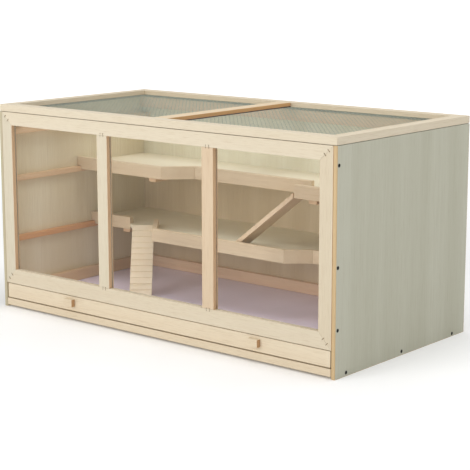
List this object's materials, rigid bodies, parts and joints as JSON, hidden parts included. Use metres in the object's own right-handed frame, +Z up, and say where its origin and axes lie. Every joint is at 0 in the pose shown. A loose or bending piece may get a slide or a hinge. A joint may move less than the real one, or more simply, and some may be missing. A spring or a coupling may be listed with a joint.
{
  "type": "hamster cage",
  "caption": "Wooden rodent cage with a bayed window front, stepped shelves, grooved ramps, a hinged netting roof and a pull-out floor tray.",
  "frame": {"origin": "on the floor, under the middle of the bounding box", "axes": "+X to the right as seen from the front, +Y from the window to the back wall, +Z up"},
  "size_m": [1.15, 0.5928, 0.5702],
  "materials": {
    "frame_wood": "planed pine, thin pale stain",
    "panel_wood": "thin plywood, grey-beige stain",
    "batten_wood": "raw sawn pine",
    "shelf_wood": "planed pine and plywood",
    "ramp_wood": "planed pine",
    "tray_board": "white coated board, satin",
    "acrylic": "clear acrylic",
    "netting": "galvanised wire netting",
    "hinge_steel": "zinc-plated steel"
  },
  "bodies": {
    "cage": {"back_panel": "panel_wood", "base_batten_back": "batten_wood", "base_batten_front": "batten_wood", "base_batten_middle": "batten_wood", "base_front_rail": "frame_wood", "base_panel": "panel_wood", "guide_batten_back": "batten_wood", "guide_batten_left": "batten_wood", "guide_batten_right": "batten_wood", "hinge_left_lower_leaf": "hinge_steel", "hinge_left_pin": "hinge_steel", "hinge_right_lower_leaf": "hinge_steel", "hinge_right_pin": "hinge_steel", "ledge_batten_left": "batten_wood", "ledge_batten_right": "batten_wood", "lower_lip_chamfer": "shelf_wood", "lower_lip_front": "shelf_wood", "lower_lip_left": "shelf_wood", "lower_lip_ramp_side": "shelf_wood", "lower_lip_right": "shelf_wood", "lower_ramp": "ramp_wood", "lower_shelf_board": "shelf_wood", "lower_stiffener": "batten_wood", "shelf_batten_lower_left": "batten_wood", "shelf_batten_lower_right": "batten_wood", "shelf_batten_upper_left": "batten_wood", "shelf_batten_upper_right": "batten_wood", "side_panel_left": "panel_wood", "side_panel_right": "panel_wood", "top_batten_back": "batten_wood", "upper_lip_chamfer": "shelf_wood", "upper_lip_left": "shelf_wood", "upper_lip_middle": "shelf_wood", "upper_lip_right": "shelf_wood", "upper_ramp": "ramp_wood", "upper_shelf_board": "shelf_wood", "upper_stiffener_left": "batten_wood", "upper_stiffener_right": "batten_wood", "window_mullion_left": "frame_wood", "window_mullion_right": "frame_wood", "window_pane_centre": "acrylic", "window_pane_left": "acrylic", "window_pane_right": "acrylic", "window_rail_bottom": "frame_wood", "window_rail_top": "frame_wood", "window_stile_left": "frame_wood", "window_stile_right": "frame_wood"},
    "lid": {"hinge_left_upper_leaf": "hinge_steel", "hinge_right_upper_leaf": "hinge_steel", "lid_centre_bar": "frame_wood", "lid_netting": "netting", "lid_rail_back": "frame_wood", "lid_rail_front": "frame_wood", "lid_rail_left": "frame_wood", "lid_rail_right": "frame_wood"},
    "tray": {"tray_floor": "tray_board", "tray_front": "frame_wood", "tray_knob_left": "frame_wood", "tray_knob_right": "frame_wood"}
  },
  "joints": [
    {"name": "lid_hinge", "type": "hinge", "parent": "cage", "child": "lid", "pos_m": [0, 0.29315, 0.55085], "axis": [-1, 0, 0], "range_deg": [0, 110]},
    {"name": "tray_slide", "type": "slide", "parent": "cage", "child": "tray", "axis": [0, -1, 0], "range_m": [0, 0.5]}
  ]
}
